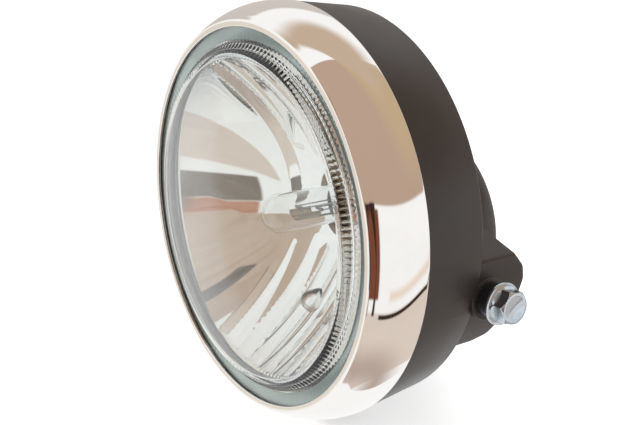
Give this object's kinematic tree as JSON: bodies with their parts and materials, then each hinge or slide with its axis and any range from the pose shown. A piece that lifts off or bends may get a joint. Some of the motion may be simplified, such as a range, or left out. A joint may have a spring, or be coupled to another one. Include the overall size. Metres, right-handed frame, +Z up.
{
  "type": "motorcycle headlight",
  "caption": "Round motorcycle headlight: chromed ring, clear glass with a fluted edge, faceted reflector and a black shell held by a bolt at each side.",
  "frame": {"origin": "middle of the common axis of the two side mounting bolts, in the lamp's plane of symmetry", "axes": "+X along the bolt axis towards the lamp's left side as its rider sees it, +Y backwards along the lamp axis, +Z up"},
  "size_m": [0.2036, 0.121, 0.186],
  "materials": {
    "black_plastic": "satin moulded plastic, near black with a brown cast",
    "chrome": "polished chrome plate on pressed steel",
    "steel": "plain plated steel",
    "spring_steel": "spring steel",
    "zinc": "bright zinc plate with a blue cast",
    "spacer_steel": "dark plated steel",
    "lens_glass": "clear moulded glass, faintly green at its edge",
    "bead_rubber": "matt sealing bead",
    "mirror": "vacuum aluminised, bright",
    "bulb_metal": "nickelled steel",
    "bulb_glass": "clear hard glass",
    "tungsten": "drawn wire",
    "ceramic_base": "brown moulded base",
    "terminal_brass": "tinned brass",
    "boot_rubber": "soft matt rubber",
    "holder_plastic": "moulded plastic"
  },
  "bodies": {
    "root": {"housing": "black_plastic", "trim_ring": "chrome", "ring_hook": "steel", "screw_tabs": "steel", "ring_screws": "zinc", "ring_nuts": "steel", "unit_clips": "spring_steel", "lens": "lens_glass", "lens_seal": "bead_rubber", "reflector": "mirror", "bulb_base": "bulb_metal", "bulb_glass": "bulb_glass", "beam_shield": "bulb_metal", "filaments": "tungsten", "bulb_insulator": "ceramic_base", "bulb_terminals": "terminal_brass", "bulb_spring": "spring_steel", "spring_screws": "zinc", "dust_boot": "boot_rubber", "pilot_bulb": "bulb_glass", "pilot_holder": "holder_plastic", "threaded_inserts": "steel", "mount_spacers": "spacer_steel", "mounting_bolts": "zinc", "wire_grommet": "boot_rubber"}
  },
  "joints": []
}
